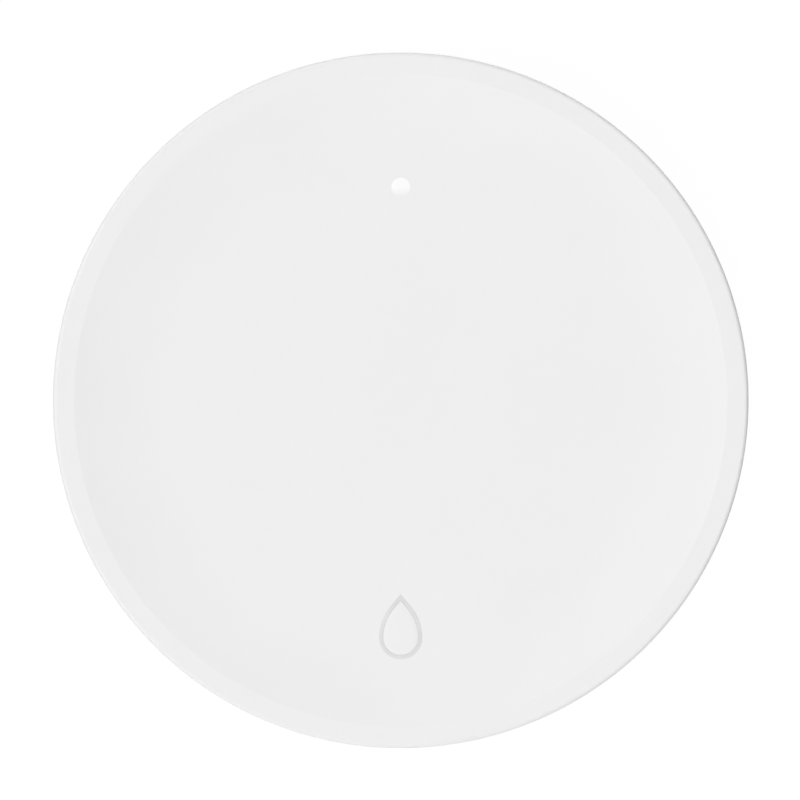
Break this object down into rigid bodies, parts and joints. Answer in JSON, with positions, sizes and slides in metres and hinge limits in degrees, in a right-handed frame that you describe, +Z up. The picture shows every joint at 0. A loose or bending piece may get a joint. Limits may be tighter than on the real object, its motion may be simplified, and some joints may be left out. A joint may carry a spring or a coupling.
{
  "type": "water leak sensor",
  "caption": "Round puck-shaped water leak sensor with a dished top, a status light, a drop-shaped button, steel probes underneath and a twist-off battery cover.",
  "frame": {"origin": "centre of the footprint, at the floor under the rubber feet", "axes": "+Z up; +Y from the middle to the status light; +X to the right with the light at the top"},
  "size_m": [0.05, 0.05, 0.015],
  "materials": {
    "shell_white": "fine matt texture, white ABS",
    "base_white": "fine matt texture, white ABS",
    "cover_white": "fine matt texture, white ABS",
    "collar_grey": "soft light grey silicone",
    "foot_rubber": "matt grey rubber",
    "seal_black": "matt black rubber",
    "light_guide": "clear, frosted tip",
    "probe_steel": "polished stainless steel",
    "screw_steel": "zinc plated",
    "standoff_brass": "turned brass",
    "cell_steel": null,
    "cell_plastic": "dark moulded plastic",
    "spring_steel": "nickel plated spring steel",
    "board_green": "green solder mask on glass fibre",
    "chip_black": "matt black epoxy",
    "can_tin": "tin plated sheet",
    "part_tan": "ceramic",
    "copper_gold": "gold flash on copper",
    "switch_black": "moulded black nylon",
    "led_body": "clear epoxy over a white body"
  },
  "bodies": {
    "housing": {"top_shell": "shell_white", "bottom_shell": "base_white", "case_seal": "seal_black", "case_screws": "screw_steel", "rubber_feet": "foot_rubber", "probe_left": "probe_steel", "probe_right": "probe_steel", "probe_seals": "seal_black", "probe_standoffs": "standoff_brass", "cell_can": "cell_steel", "cell_gasket": "cell_plastic", "cell_cap": "cell_steel", "minus_contact": "spring_steel", "plus_contact": "spring_steel", "circuit_board": "board_green", "radio_chip": "chip_black", "shield_can": "can_tin", "crystal": "can_tin", "small_parts": "part_tan", "test_pads": "copper_gold", "antenna_trace": "copper_gold", "status_led": "led_body", "light_pipe": "light_guide", "key_collar": "collar_grey", "switch_base": "switch_black", "switch_plate": "can_tin", "switch_terminals": "can_tin", "switch_dome": "spring_steel"},
    "battery_cover": {"battery_cover": "cover_white", "cover_seal": "seal_black"},
    "button": {"drop_key": "shell_white", "switch_stem": "switch_black"}
  },
  "joints": [
    {"name": "cover_twist", "type": "hinge", "parent": "housing", "child": "battery_cover", "pos_m": [0, 0, 0], "axis": [0, 0, -1], "range_deg": [0, 45]},
    {"name": "button_press", "type": "slide", "parent": "housing", "child": "button", "axis": [0, 0, -1], "range_m": [0, 0.00025], "stiffness_N_per_m": 3200, "springref_m": -0.00025, "deforming": ["switch_dome"]}
  ]
}
